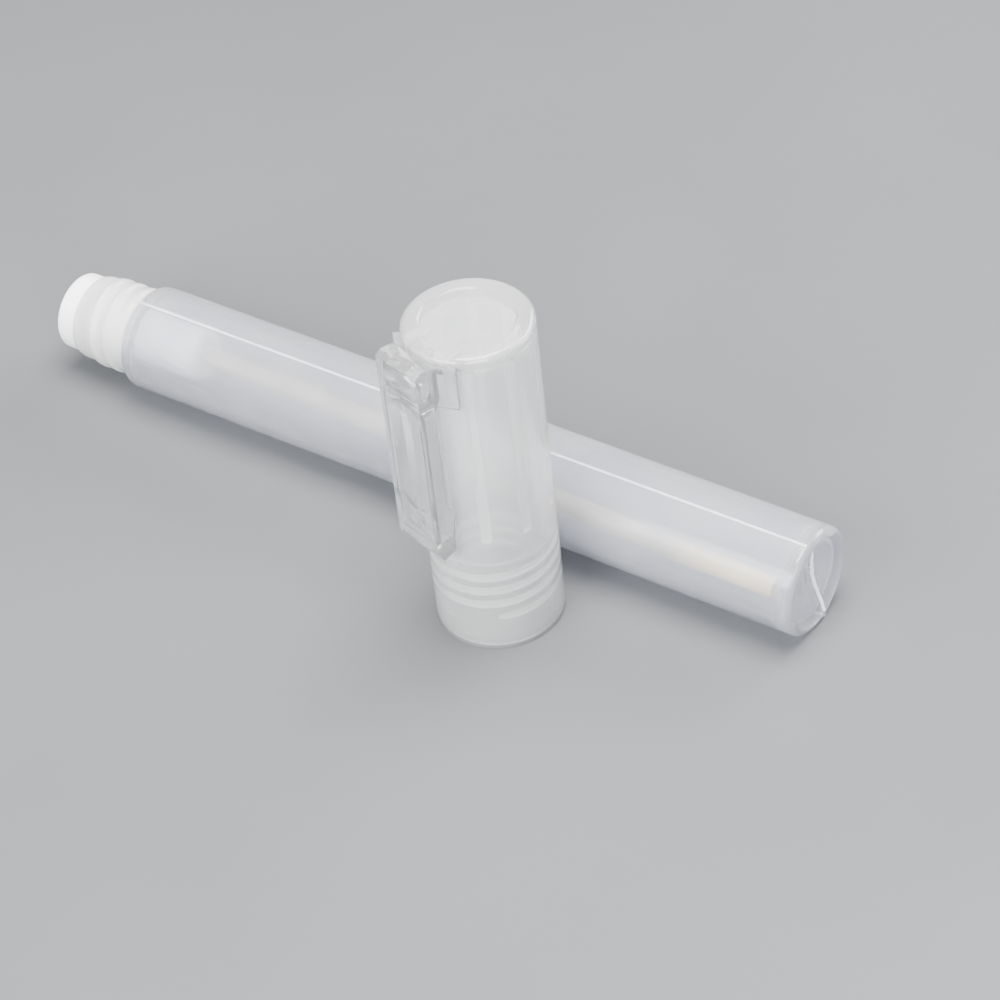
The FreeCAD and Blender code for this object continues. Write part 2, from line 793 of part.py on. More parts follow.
def main():
    os.makedirs("parts", exist_ok=True)
    document = FreeCAD.newDocument("mist_sprayer")
    size = Sizes(document)
    bottle_makers = [
        make_bottle, make_neck_gasket, make_pump_housing, make_pump_retainer, make_stem_seal, make_stem,
        make_piston, make_poppet, make_return_spring, make_inlet_ball, make_actuator, make_nozzle_insert,
        make_dip_tube,
    ]
    cap_makers = [make_cap_shell, make_clip_root, make_clip_arm]
    bottle_pieces = [with_placement(make(document, size)) for make in bottle_makers]
    cap_pieces = [with_placement(make(document, size)) for make in cap_makers]
    place_pieces(size, bottle_pieces, cap_pieces)
    document.recompute()
    check_and_export(document, [piece for piece, own in bottle_pieces + cap_pieces])


main()
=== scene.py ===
"""Looks of the pocket mist sprayer: a frosted bottle lying down with its pump, and its cap with a clear clip.

Shapes are worked out in millimetres and turned into metres of the row frame when their mesh is made. On the
bottle, "along" is the distance from the base towards the button, and an angle of 0 points to +Y and 90 up.
On the cap, "height" is measured from its mouth. The clip is drawn with side, out and up, measured from the
cap's axis.
"""

import json
import math

import bmesh
import bpy
import numpy as np
from mathutils import Matrix, Vector


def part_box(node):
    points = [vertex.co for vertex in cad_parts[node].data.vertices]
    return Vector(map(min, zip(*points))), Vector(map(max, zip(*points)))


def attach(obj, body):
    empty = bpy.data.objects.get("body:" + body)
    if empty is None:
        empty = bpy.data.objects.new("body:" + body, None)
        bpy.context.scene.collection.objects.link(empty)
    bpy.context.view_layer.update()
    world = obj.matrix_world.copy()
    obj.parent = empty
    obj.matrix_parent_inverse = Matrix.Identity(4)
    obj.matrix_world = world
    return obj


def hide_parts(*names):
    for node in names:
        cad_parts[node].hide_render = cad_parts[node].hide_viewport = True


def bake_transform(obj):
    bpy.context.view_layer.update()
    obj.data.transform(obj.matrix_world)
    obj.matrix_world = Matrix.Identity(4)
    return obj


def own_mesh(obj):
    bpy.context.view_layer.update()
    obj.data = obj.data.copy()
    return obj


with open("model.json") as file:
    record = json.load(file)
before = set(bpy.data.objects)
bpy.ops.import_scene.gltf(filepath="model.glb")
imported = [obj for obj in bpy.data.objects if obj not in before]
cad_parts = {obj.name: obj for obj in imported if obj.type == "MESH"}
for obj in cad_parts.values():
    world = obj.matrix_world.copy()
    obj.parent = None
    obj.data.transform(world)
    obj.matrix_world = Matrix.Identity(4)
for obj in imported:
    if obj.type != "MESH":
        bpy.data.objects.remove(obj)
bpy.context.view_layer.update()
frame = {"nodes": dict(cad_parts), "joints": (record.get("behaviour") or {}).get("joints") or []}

MM = 0.001

# ---- bottle, mm and degrees
WALL_RADIUS = 6.8
WALL_INSIDE = 5.9
RECESS_DEPTH = 0.9
RECESS_RADIUS = 5.8
BASE_RING = 5.9
BASE_ROUNDING = 0.9
BASE_FACE_RADIUS = 6.5
FLOOR_BEND = 2.6
FLOOR_ROUNDING = 1.0
FLOOR_MIDDLE = 2.0
SHOULDER_BEND = 97.7
SHOULDER_ROUNDING = 1.2
SHOULDER_END = 99.2
INNER_SHOULDER = 96.6
NECK_ROOT = 5.58
NECK_CREST = 5.88
LIP_START = 106.6
NECK_END = 107.5
MOUTH_BORE = 5.16
MOUTH_BEVEL = 107.38
LEDGE = 103.5
THROAT = 4.4
THROAT_LOW = 98.6
PARTING_ANGLE = 101.5
PARTING_HEIGHT = 0.12
PARTING_WIDTH = 0.14
PARTING_END = 98.3
SEAM_WIDTH = 0.26
SEAM_HEIGHT = 0.62
SEAM_REACH = 6.0
NUB_HEIGHT = 0.55
NUB_OVERHANG = 0.25

# ---- screw threads, mm and degrees
PITCH = 2.1
RIDGE_FOOT = 0.72
RIDGE_TOP = 0.22
NECK_RIDGE = 102.2
NECK_RIDGE_ANGLE = 131.5
NECK_THREAD_ENDS = (100.1, 105.7)
CAP_RIDGE = 4.55
CAP_THREAD_ENDS = (4.2, 11.3)

# ---- cap, mm
CAP_HEIGHT = 44.0
CAP_MOUTH = 7.73
CAP_TOP = 7.63
CAP_ROUNDING = 0.84
DISC_RADIUS = 5.7
DISC_DEPTH = 0.2
LEAD_IN = 6.2
LEAD_IN_TOP = 3.3
CAP_ROOT = 6.02
CAP_CREST = 5.72
CAP_LEDGE = 12.8
UPPER_BORE = 5.75
ROOF_UNDERSIDE = 41.6
ROOF_ROUNDING = 0.5
RIB_COUNT = 8
RIB_HALF = 0.45
RIB_DEPTH = 0.55
RIB_BOTTOM = 16.0
SLOT_GAP = 0.03

# ---- clip, mm
CLIP_OUT = 10.8
CLIP_IN = 8.5
CLIP_HALF = 3.33
TROUGH_HALF = 2.48
WEB_INSIDE = 9.9
FOOT_LOW = 16.1
FOOT_TOP = 18.5
ARM_TOP = 38.6
PRONG_SIDE = 2.95
PRONG_HALF = 0.5
PRONG_LOW = 42.2
PRONG_HIGH = 43.2
PRONG_TIP = -0.8
SADDLE_LOW = 37.6
SADDLE_HALF_ANGLE = 38
SADDLE_OUTER = 8.45
SADDLE_INNER = 7.66
CLIP_BEVEL = 0.11

# ---- spring, metres
SPRING_WIRE = 0.000225
SPRING_TURNS = 6.6
SPRING_CLOSED = 0.9
SPRING_STEPS = 260

# ---- material numbers of the faces
OUTSIDE = 0
INSIDE = 1
BOTTLE_SEAM = 2
# faces of the parting lines, which carry a darker painted shade
BOTTLE_PARTING_SHADE = 3
BOTTLE_NECK = 4
CAP_THICK = 2

# ---- camera, at the angle the sprayer is seen from
CAMERA_AZIMUTH = 37.81
CAMERA_ELEVATION = 41.73
CAMERA_ROLL = -6.67
CAMERA_DISTANCE = 0.41044
CAMERA_LENS = 119.3
CAMERA_TARGET = Vector((0.009678, 0.010274, 0.0))

# ---- lights: place, width and height in metres, power in watts, colour
LIGHTS = {
    "overhead": ((0.06, 0.02, 0.52), 0.36, 0.30, 12.5, (1.0, 0.985, 0.96)),
    "behind": ((0.18, 0.55, 0.30), 0.45, 0.25, 8.5, (1.0, 1.0, 1.0)),
    "side": ((-0.05, -0.48, 0.30), 0.36, 0.30, 8.5, (1.0, 1.0, 1.0)),
    "front": ((0.45, -0.45, 0.40), 0.40, 0.40, 8.0, (0.95, 0.97, 1.0)),
}

UP = Vector((0, 0, 1))
bottle_low, bottle_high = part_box("bottle")
BASE_X = bottle_high.x
BOTTLE_AXIS = (bottle_low + bottle_high) / 2
cap_low, cap_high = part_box("cap_shell")
CAP_AXIS = (cap_low + cap_high) / 2
CAP_FOOT = Vector((CAP_AXIS.x, CAP_AXIS.y, 0))
clip_joint = next(joint for joint in frame["joints"] if joint["name"] == "clip_flex")
SIDE = -Vector(clip_joint["axis"])
OUT = SIDE.cross(UP)


# ------------------------------------------------------------------ outlines

def arc(along, radius, size, start, end, steps):
    """Points of an arc round (along, radius), from one angle in degrees to another, ends included."""
    turns = np.radians(np.linspace(start, end, steps + 1))
    return [(along + size * math.cos(a), radius + size * math.sin(a)) for a in turns]


def fill(points, step):
    """The outline with its straight stretches divided so that no piece is longer than step."""
    dense = [points[0]]
    for before, after in zip(points, points[1:]):
        parts = max(1, math.ceil(math.dist(before, after) / step))
        for part in range(1, parts + 1):
            share = part / parts
            dense.append(tuple(a + (b - a) * share for a, b in zip(before, after)))
    return dense


def join(*parts):
    """One outline from its parts, without points that repeat the one before."""
    joined = [parts[0][0]]
    for part in parts:
        for point in part:
            if math.dist(point, joined[-1]) > 1e-4:
                joined.append(point)
    return np.array(joined)


def smooth(value):
    """Soft step from 0 to 1."""
    value = np.clip(value, 0.0, 1.0)
    return value * value * (3 - 2 * value)


def bell(distance, width):
    """Bell curve: 1 at no distance, and 0.37 at the width."""
    return np.exp(-((distance / width) ** 2))


def helix_ridge(along, degrees, crest, hand, ends):
    """Height from 0 to 1 of a screw ridge whose crest is at the given place at angle 0."""
    shifted = along - crest - hand * PITCH * degrees / 360
    turn = np.round(shifted / PITCH)
    middle = crest + hand * PITCH * degrees / 360 + turn * PITCH
    fade = smooth((middle - ends[0]) / 0.3) * smooth((ends[1] - middle) / 0.3)
    flank = (RIDGE_FOOT - np.abs(shifted - turn * PITCH)) / (RIDGE_FOOT - RIDGE_TOP)
    return smooth(flank) * fade


def waves(along, degrees, length, seed):
    """Slow unevenness of a blown wall, from about -1 to 1."""
    a = np.radians(degrees)
    value = np.sin(along / length * 6.283 + 2 * a + seed) + np.sin(along / length * 3.1 - a + 2.3 * seed)
    return (value + np.sin(3 * a + along / length * 1.7 + seed)) / 3


# ------------------------------------------------------------------ meshes

def finish_mesh(name, mesh, sharp=35.0):
    """Merges points that coincide, turns the faces outwards, and shades all but the sharp edges smooth."""
    work = bmesh.new()
    work.from_mesh(mesh)
    bmesh.ops.remove_doubles(work, verts=work.verts, dist=1e-8)
    bmesh.ops.recalc_face_normals(work, faces=work.faces)
    work.to_mesh(mesh)
    work.free()
    mesh.shade_smooth()
    mesh.set_sharp_from_angle(angle=math.radians(sharp))
    piece = bpy.data.objects.new(name, mesh)
    bpy.context.scene.collection.objects.link(piece)
    return piece


def turned_mesh(name, points, first_inside):
    """Closed mesh from rings of points, whose first and last ring are single points on the axis.

    Faces from the ring first_inside on take the piece's second material.
    """
    rows, columns, _ = points.shape
    corners = [points[0, 0], *points[1:-1].reshape(-1, 3), points[-1, 0]]
    faces = []
    for column in range(columns):
        following = (column + 1) % columns
        faces.append((0, 1 + column, 1 + following))
        for row in range(rows - 3):
            a = 1 + row * columns
            b = a + columns
            faces.append((a + column, b + column, b + following, a + following))
        last = 1 + (rows - 3) * columns
        faces.append((len(corners) - 1, last + following, last + column))
    mesh = bpy.data.meshes.new(name)
    mesh.from_pydata([tuple(float(x) for x in corner) for corner in corners], [], faces)
    for polygon in mesh.polygons:
        inner = max(polygon.vertices) > first_inside * columns
        polygon.material_index = INSIDE if inner else OUTSIDE
    return finish_mesh(name, mesh)


def tube_mesh(name, path, ring_radius, sides):
    """Closed round tube along a path of points in metres, with flat ends."""
    corners = []
    for index, point in enumerate(path):
        ahead = path[min(index + 1, len(path) - 1)] - path[max(index - 1, 0)]
        across = ahead.cross(Vector((1, 0, 0))).normalized()
        lift = across.cross(ahead).normalized()
        for side in range(sides):
            turn = 2 * math.pi * side / sides
            corners.append(point + (across * math.cos(turn) + lift * math.sin(turn)) * ring_radius)
    faces = [tuple(range(sides)), tuple(range(len(corners) - sides, len(corners)))]
    for index in range(len(path) - 1):
        for side in range(sides):
            a = index * sides + side
            b = index * sides + (side + 1) % sides
            faces.append((a, b, b + sides, a + sides))
    mesh = bpy.data.meshes.new(name)
    mesh.from_pydata(corners, [], faces)
    return finish_mesh(name, mesh)


def prism(name, outline, low, high, axis):
    """Straight block in the clip's own millimetres: an outline pushed from low to high along one axis."""
    def corner(a, b, c):
        return {"side": (c, a, b), "out": (a, c, b), "up": (a, b, c)}[axis]

    count = len(outline)
    corners = [corner(a, b, low) for a, b in outline] + [corner(a, b, high) for a, b in outline]
    faces = [tuple(range(count)), tuple(range(count, 2 * count))]
    faces += [(i, (i + 1) % count, (i + 1) % count + count, i + count) for i in range(count)]
    mesh = bpy.data.meshes.new(name)
    mesh.from_pydata(corners, [], faces)
    return finish_mesh(name, mesh)


def evaluated(piece):
    """Replaces the piece's mesh by what its modifiers make of it."""
    bpy.context.view_layer.update()
    shaped = piece.evaluated_get(bpy.context.evaluated_depsgraph_get())
    mesh = bpy.data.meshes.new_from_object(shaped)
    piece.modifiers.clear()
    piece.data = mesh
    return piece


def combine(piece, other, operation):
    """Joins another solid to the piece, or cuts it out, and removes it."""
    modifier = piece.modifiers.new(operation, "BOOLEAN")
    modifier.operation = operation
    modifier.solver = "EXACT"
    modifier.object = other
    evaluated(piece)
    bpy.data.objects.remove(other)
    return piece


# ------------------------------------------------------------------ bottle

def hollow_base():
    """(along, radius) of the hollow base, from its middle to its rim."""
    shares = np.sin(np.linspace(0, math.pi / 2, 26))
    return [(RECESS_DEPTH * (1 - share ** 2.4) ** 0.7, RECESS_RADIUS * share) for share in shares]


def inner_floor():
    """(along, radius) of the inner base, from the wall to its middle."""
    flat = WALL_INSIDE - FLOOR_ROUNDING
    low = FLOOR_BEND - FLOOR_ROUNDING
    points = arc(FLOOR_BEND, flat, FLOOR_ROUNDING, 90, 180, 6)
    for share in np.linspace(1, 0, 14)[1:]:
        points.append((low + (FLOOR_MIDDLE - low) * math.cos(share * math.pi / 2), flat * share))
    return points


def bottle_outline():
    """(along, radius) from the middle of the hollow base, over the outside and neck, to the inner base."""
    base = hollow_base() + [(0.0, BASE_RING)]
    base += arc(BASE_ROUNDING, BASE_RING, BASE_ROUNDING, 180, 90, 9)
    wall = [(BASE_ROUNDING, WALL_RADIUS), (SHOULDER_BEND, WALL_RADIUS)]
    shoulder = arc(SHOULDER_BEND, WALL_RADIUS - SHOULDER_ROUNDING, SHOULDER_ROUNDING, 90, 37, 7)
    shoulder += [(98.98, 5.9), (99.1, 5.72), (99.3, NECK_ROOT)]
    neck = [(99.3, NECK_ROOT), (LIP_START, NECK_ROOT)]
    lip = [(LIP_START + 0.2, NECK_ROOT - 0.04), (107.35, 5.46), (107.46, 5.40), (NECK_END, 5.33)]
    rim = [(NECK_END, 5.25), (107.46, 5.19), (MOUTH_BEVEL, MOUTH_BORE)]
    bore = [(MOUTH_BEVEL, MOUTH_BORE), (LEDGE, MOUTH_BORE), (LEDGE, THROAT), (THROAT_LOW, THROAT)]
    inner_shoulder = [(98.3, 4.45), (98.05, 4.7), (97.6, 5.4), (97.35, 5.72), (97.0, 5.87)]
    inner_wall = [(INNER_SHOULDER, WALL_INSIDE), (FLOOR_BEND, WALL_INSIDE)]
    outside = [fill(base, 0.25), fill(wall, 1.3), shoulder, fill(neck, 0.075), lip]
    inside = [rim, fill(bore, 0.5), inner_shoulder, fill(inner_wall, 1.3), inner_floor()]
    return join(*outside, *inside)


def seam_angles():
    """Angles round the bottle, closer together beside the two parting lines."""
    even = PARTING_ANGLE + np.arange(0, 360, 2.5)
    close = [0.35, 0.7, 1.05, 1.4, 1.8, 2.3, 2.9, 3.6, 4.3]
    both = [sign * offset for offset in close for sign in (-1, 1)]
    extra = [PARTING_ANGLE + half + offset for half in (0, 180) for offset in both]
    return np.unique(np.round(np.concatenate([even, extra]) % 360, 4))


def parting_distance(radius, degrees):
    """Distance round the bottle from the nearer of the two lines that the halves of the mould leave."""
    away = np.abs((degrees - PARTING_ANGLE + 90) % 180 - 90)
    return radius * np.radians(away)


def seam_offset(radius, degrees):
    """Distance from the slightly curved seam across the base, on the -Y side above 0."""
    lean = np.radians(degrees - PARTING_ANGLE)
    return radius * np.sin(lean) - 0.22 * np.sin(radius * np.cos(lean) * 0.5 + 0.5)


def base_seam(radius, degrees):
    """Height above the hollow base of the raw seam where the tube of plastic was pinched off.

    The half of the hollow on the -Y side is also shallower than the other, with faint folds beside the seam.
    """
    forward = radius * np.cos(np.radians(degrees - PARTING_ANGLE))
    across = seam_offset(radius, degrees)
    inside = np.clip(1 - (radius / RECESS_RADIUS) ** 6, 0, 1)
    rough = 1 + 0.15 * np.sin(forward * 5.1) * np.cos(forward * 2.3)
    reach = np.clip(1 - (radius / SEAM_REACH) ** 6, 0, 1)
    ridge = SEAM_HEIGHT * reach * rough * bell(across, SEAM_WIDTH)
    folds = 0.05 * bell(across - 1.2, 0.2) + 0.04 * bell(across - 2.3, 0.24)
    filled = 0.38 * smooth(across / 0.7) * (1 - (radius / RECESS_RADIUS) ** 2)
    return np.maximum(ridge, (filled + folds) * inside)


def wall_relief(along, radius, degrees, outer):
    """The radius with thread, parting lines and unevenness, and the largest radius that it may have."""
    wall = outer & (radius > BASE_FACE_RADIUS) & (along > 0.05)
    neck = outer & (along > SHOULDER_END) & (along < LIP_START + 0.1)
    inner_wall = ~outer & (along > 2.7) & (along < 96.5) & (radius > 5.7)
    crest = NECK_RIDGE + PITCH * NECK_RIDGE_ANGLE / 360
    thread = helix_ridge(along, degrees, crest, -1, NECK_THREAD_ENDS)
    line = bell(parting_distance(np.maximum(radius, 0.3), degrees), PARTING_WIDTH)
    fade = smooth((along - 0.2) / 0.8) * smooth((PARTING_END + 0.3 - along) / 0.6)
    on_neck = (NECK_CREST - NECK_ROOT) * thread + 0.03 * line * (1 - thread)
    outer_dip = 0.02 * fade * (1 + waves(along, degrees, 31.0, 0.7)) / 2
    inner_dip = 0.07 * (1 + waves(along, degrees, 23.0, 2.1))
    radius = radius + np.where(neck, on_neck, 0)
    radius = radius + np.where(wall, PARTING_HEIGHT * line * fade - outer_dip, 0)
    radius = radius - np.where(inner_wall, inner_dip, 0)
    return radius, WALL_RADIUS + 0.06 * line * wall


def bottle_points(outline, degrees, first_inside):
    """Places in the row frame of the outline turned round the bottle's axis, with all its relief."""
    along = np.repeat(outline[:, :1], degrees.size, axis=1)
    radius = np.repeat(outline[:, 1:], degrees.size, axis=1)
    outer = (np.arange(len(outline)) < first_inside)[:, None]
    base = outer & (along < BASE_ROUNDING) & (radius < BASE_FACE_RADIUS)
    radius, largest = wall_relief(along, radius, degrees, outer)
    along = along - np.where(base, base_seam(radius, degrees), 0)
    nub_angle = (degrees - PARTING_ANGLE) % 360 - 180
    nub = bell(nub_angle, 1.3) * smooth((radius - BASE_RING) / 0.3) * outer * (along < 0.75)
    along = np.maximum(along - NUB_HEIGHT * nub, 0.0)
    radius = np.minimum(radius + NUB_OVERHANG * nub, largest - 0.02 * (nub >= 0.01))
    angle = np.radians(degrees)
    x = BASE_X - along * MM
    y = BOTTLE_AXIS.y + radius * np.cos(angle) * MM
    z = BOTTLE_AXIS.z + radius * np.sin(angle) * MM
    return np.stack([x, y, np.maximum(z, 0.0)], axis=-1)


def mark_bottle(piece):
    """Gives the outer faces of the parting lines, of the base's seam and of the neck their own materials; the
    parting-line faces carry painted shade.
    """
    for polygon in piece.data.polygons:
        if polygon.material_index != OUTSIDE:
            continue
        place = polygon.center - Vector((BASE_X, BOTTLE_AXIS.y, BOTTLE_AXIS.z))
        along = -place.x / MM
        radius = math.hypot(place.y, place.z) / MM
        degrees = math.degrees(math.atan2(place.z, place.y))
        on_wall = radius > BASE_FACE_RADIUS and 0.6 < along < PARTING_END
        on_base = radius < RECESS_RADIUS and along < 1.0
        # painted shade: these parting-line faces get the darker grey-blue material
        if on_wall and parting_distance(radius, degrees) < 0.15:
            polygon.material_index = BOTTLE_PARTING_SHADE
        elif on_base and abs(seam_offset(radius, degrees)) < 0.22:
            polygon.material_index = BOTTLE_SEAM
        elif along > SHOULDER_END:
            polygon.material_index = BOTTLE_NECK


def make_bottle():
    outline = bottle_outline()
    first_inside = int(np.argmax(outline[:, 0]))
    points = bottle_points(outline, seam_angles()[None, :], first_inside)
    piece = turned_mesh("bottle_shell", points, first_inside)
    mark_bottle(piece)
    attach(piece, "bottle")
    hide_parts("bottle")
    return piece


# ------------------------------------------------------------------ cap

def cap_top():
    """(height, radius) over the cap's top: a shallow disc inside a raised ring, and the rounding."""
    disc = CAP_HEIGHT - DISC_DEPTH
    top = fill([(disc, 0.0), (disc, DISC_RADIUS - 0.3)], 0.35)
    top += [(disc + 0.03, DISC_RADIUS - 0.2), (disc + 0.15, DISC_RADIUS - 0.06), (CAP_HEIGHT, DISC_RADIUS)]
    top += [(CAP_HEIGHT, 6.2)]
    return top + arc(CAP_HEIGHT - CAP_ROUNDING, CAP_TOP - CAP_ROUNDING, CAP_ROUNDING, 0, 90, 9)


def cap_outline():
    """(height, radius) from the middle of the top, down the outside, and up inside to the roof."""
    outside = [(CAP_HEIGHT - CAP_ROUNDING, CAP_TOP), (0.2, CAP_MOUTH)]
    mouth = [(0.06, CAP_MOUTH - 0.05), (0.0, CAP_MOUTH - 0.17), (0.0, 7.1)]
    mouth += [(0.0, LEAD_IN + 0.15), (0.1, LEAD_IN)]
    lead_in = [(0.1, LEAD_IN), (LEAD_IN_TOP - 0.2, LEAD_IN), (LEAD_IN_TOP, CAP_ROOT)]
    thread = [(LEAD_IN_TOP, CAP_ROOT), (CAP_LEDGE - 0.5, CAP_ROOT)]
    ledge = [(CAP_LEDGE - 0.2, CAP_ROOT - 0.04), (CAP_LEDGE - 0.05, 5.88), (CAP_LEDGE, UPPER_BORE + 0.03)]
    bore = [(CAP_LEDGE + 0.2, UPPER_BORE), (RIB_BOTTOM - 0.1, UPPER_BORE)]
    rib_start = [(RIB_BOTTOM - 0.1, UPPER_BORE), (RIB_BOTTOM + 0.7, UPPER_BORE)]
    roof_bend = ROOF_UNDERSIDE - ROOF_ROUNDING
    upper = [(RIB_BOTTOM + 0.7, UPPER_BORE), (roof_bend, UPPER_BORE)]
    corner = arc(roof_bend, UPPER_BORE - ROOF_ROUNDING, ROOF_ROUNDING, 90, 0, 5)
    roof = [(ROOF_UNDERSIDE, UPPER_BORE - ROOF_ROUNDING), (ROOF_UNDERSIDE, 0.0)]
    threaded = [fill(outside, 0.8), mouth, fill(lead_in, 0.5), fill(thread, 0.085), ledge]
    ribbed = [fill(bore, 0.6), fill(rib_start, 0.08), fill(upper, 0.9), corner, fill(roof, 0.4)]
    return join(cap_top(), *threaded, *ribbed)


def rib_angles():
    """Angles from the clip's side round the cap, closer together beside each rib."""
    step = 360 / RIB_COUNT
    near = [0, 1.4, 2.8, 3.6, 4.2, 4.8, 5.6, 7.0]
    between = list(np.linspace(7.0, step / 2, 6))
    half = sorted(set(near + between))
    offsets = sorted(set([-offset for offset in half] + half[:-1]))
    angles = [index * step + offset for index in range(RIB_COUNT) for offset in offsets]
    return np.sort(np.array(angles) % 360)


def rib_shape(height, degrees):
    """How far the ribs stand in from the bore of the cap."""
    step = 360 / RIB_COUNT
    away = (degrees + step / 2) % step - step / 2
    across = np.abs(UPPER_BORE * np.radians(away)) / RIB_HALF
    crown = np.clip(1.25 - across, 0, 0.5) * 2
    crown = 1 - (1 - np.clip(crown, 0, 1)) ** 2
    end = np.sqrt(np.clip(1 - (1 - np.clip((height - RIB_BOTTOM) / 0.5, 0, 1)) ** 2, 0, 1))
    return RIB_DEPTH * crown * end * (height < ROOF_UNDERSIDE - 0.01)


def cap_points(outline, degrees, mouth_row):
    """Places in the row frame of the outline turned round the cap's axis, with its thread and ribs."""
    height = np.repeat(outline[:, :1], degrees.size, axis=1)
    radius = np.repeat(outline[:, 1:], degrees.size, axis=1)
    inner = (np.arange(len(outline)) > mouth_row)[:, None]
    threaded = inner & (height > LEAD_IN_TOP - 0.05) & (height < CAP_LEDGE - 0.4)
    ribbed = inner & (height > RIB_BOTTOM) & (radius > UPPER_BORE - 0.6)
    thread = helix_ridge(height, degrees, CAP_RIDGE, 1, CAP_THREAD_ENDS)
    radius = radius - np.where(threaded, (CAP_ROOT - CAP_CREST) * thread, 0)
    radius = radius - np.where(ribbed, rib_shape(height, degrees), 0)
    turn = np.radians(degrees)
    side = SIDE.normalized()
    out = OUT.normalized()
    x = CAP_AXIS.x + radius * (side.x * np.cos(turn) - out.x * np.sin(turn)) * MM
    y = CAP_AXIS.y + radius * (side.y * np.cos(turn) - out.y * np.sin(turn)) * MM
    return np.stack([x, y, height * MM + 0 * turn], axis=-1)


def mark_cap(piece):
    """Gives the ribs and the thread ridges their own material: they are thicker, so they look whiter."""
    for polygon in piece.data.polygons:
        reach = (polygon.center - CAP_FOOT).to_2d().length / MM
        height = polygon.center.z / MM
        threaded = LEAD_IN_TOP < height < CAP_LEDGE - 0.4 and reach < CAP_ROOT - 0.08
        ribbed = RIB_BOTTOM < height < ROOF_UNDERSIDE - 0.5 and reach < UPPER_BORE - 0.1
        if polygon.material_index == INSIDE and (threaded or ribbed):
            polygon.material_index = CAP_THICK


def make_cap():
    outline = cap_outline()
    mouth_row = int(np.argmax(outline[:, 0] < 1e-6))
    piece = turned_mesh("cap_moulding", cap_points(outline, rib_angles()[None, :], mouth_row), mouth_row)
    for sign in (-1, 1):
        combine(piece, in_row_frame(prong("slot", sign, SLOT_GAP, 2.0)), "DIFFERENCE")
    mark_cap(piece)
    piece.data.set_sharp_from_angle(angle=math.radians(35))
    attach(piece, "cap")
    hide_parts("cap_shell")
    return piece


# ------------------------------------------------------------------ clip


def in_row_frame(piece):
    """Takes a mesh made in the clip's millimetres to its place in the row frame.

    Side, out and up are a left-handed set, so the faces are turned over again afterwards.
    """
    turn = Matrix((SIDE, OUT, UP)).transposed().to_4x4()
    piece.data.transform(Matrix.Translation(CAP_FOOT) @ turn @ Matrix.Scale(MM, 4))
    piece.data.flip_normals()
    return piece


def rounded_end(left, right, base, tip, steps):
    """Outline of a bar from base to tip, whose tip end is a half round."""
    half = (right - left) / 2
    middle = (left + right) / 2
    turns = np.radians(np.linspace(0, 180, steps + 1))
    sign = 1 if tip > base else -1
    bow = [(middle + half * math.cos(a), tip - sign * half + sign * half * math.sin(a)) for a in turns]
    return [(left, base), (right, base)] + bow


def prong(name, sign, gap, overrun):
    """One prong of the clip, or the slot for it: a round-ended bar from outside the cap past its middle."""
    left = sign * PRONG_SIDE - PRONG_HALF - gap
    right = sign * PRONG_SIDE + PRONG_HALF + gap
    outline = rounded_end(left, right, CAP_MOUTH + overrun, PRONG_TIP - gap, 8)
    return prism(name, outline, PRONG_LOW - gap, PRONG_HIGH + gap, "up")


def side_outline():
    """Outline of the clip seen from its side, as (out, up)."""
    foot = [(10.02, FOOT_LOW), (CLIP_OUT, FOOT_LOW + 1.35)]
    head = [(CLIP_OUT, 43.45), (10.05, CAP_HEIGHT), (8.3, 43.75), (CAP_MOUTH, PRONG_HIGH), (CAP_MOUTH, 39.2)]
    back = [(CLIP_IN, 37.9), (CLIP_IN, 18.6), (8.1, 18.0), (8.1, FOOT_LOW + 0.5)]
    return foot + head + back


def ear_outline():
    """Outline of the swelling on each flange, as (out, up): round at its top and drawn to a point below."""
    swell = [(out, up) for up, out in arc(21.4, 9.15, 1.62, -25, -110, 8)]
    return [(9.4, 23.2)] + swell + [(8.05, 18.7), (8.4, 17.2), (9.4, 17.2)]


def saddle_outline():
    """Outline of the plate that hugs the cap, as (side, out)."""
    turns = np.radians(np.linspace(-SADDLE_HALF_ANGLE, SADDLE_HALF_ANGLE, 25))
    outer = [(SADDLE_OUTER * math.sin(a), SADDLE_OUTER * math.cos(a)) for a in turns]
    inner = [(SADDLE_INNER * math.sin(a), SADDLE_INNER * math.cos(a)) for a in reversed(turns)]
    return outer + inner


def trough_outline():
    """Outline of the clip's hollow back, as (side, up), with an arched top end."""
    turns = np.radians(np.linspace(0, 180, 13))
    arch = [(TROUGH_HALF * math.cos(a), 36.6 + 1.5 * math.sin(a)) for a in turns]
    return [(-TROUGH_HALF, FOOT_TOP), (TROUGH_HALF, FOOT_TOP)] + arch


def cavity_outline():
    """Outline of the hollow behind the clip's top, as (side, up)."""
    bottom = [(-TROUGH_HALF, 39.5), (TROUGH_HALF, 39.5)]
    return bottom + [(TROUGH_HALF, 41.9), (0.9, 42.5), (-TROUGH_HALF, 41.6)]


def round_outline(side, up, radius, steps=28):
    turns = np.linspace(0, 2 * math.pi, steps, endpoint=False)
    return [(side + radius * math.cos(a), up + radius * math.sin(a)) for a in turns]


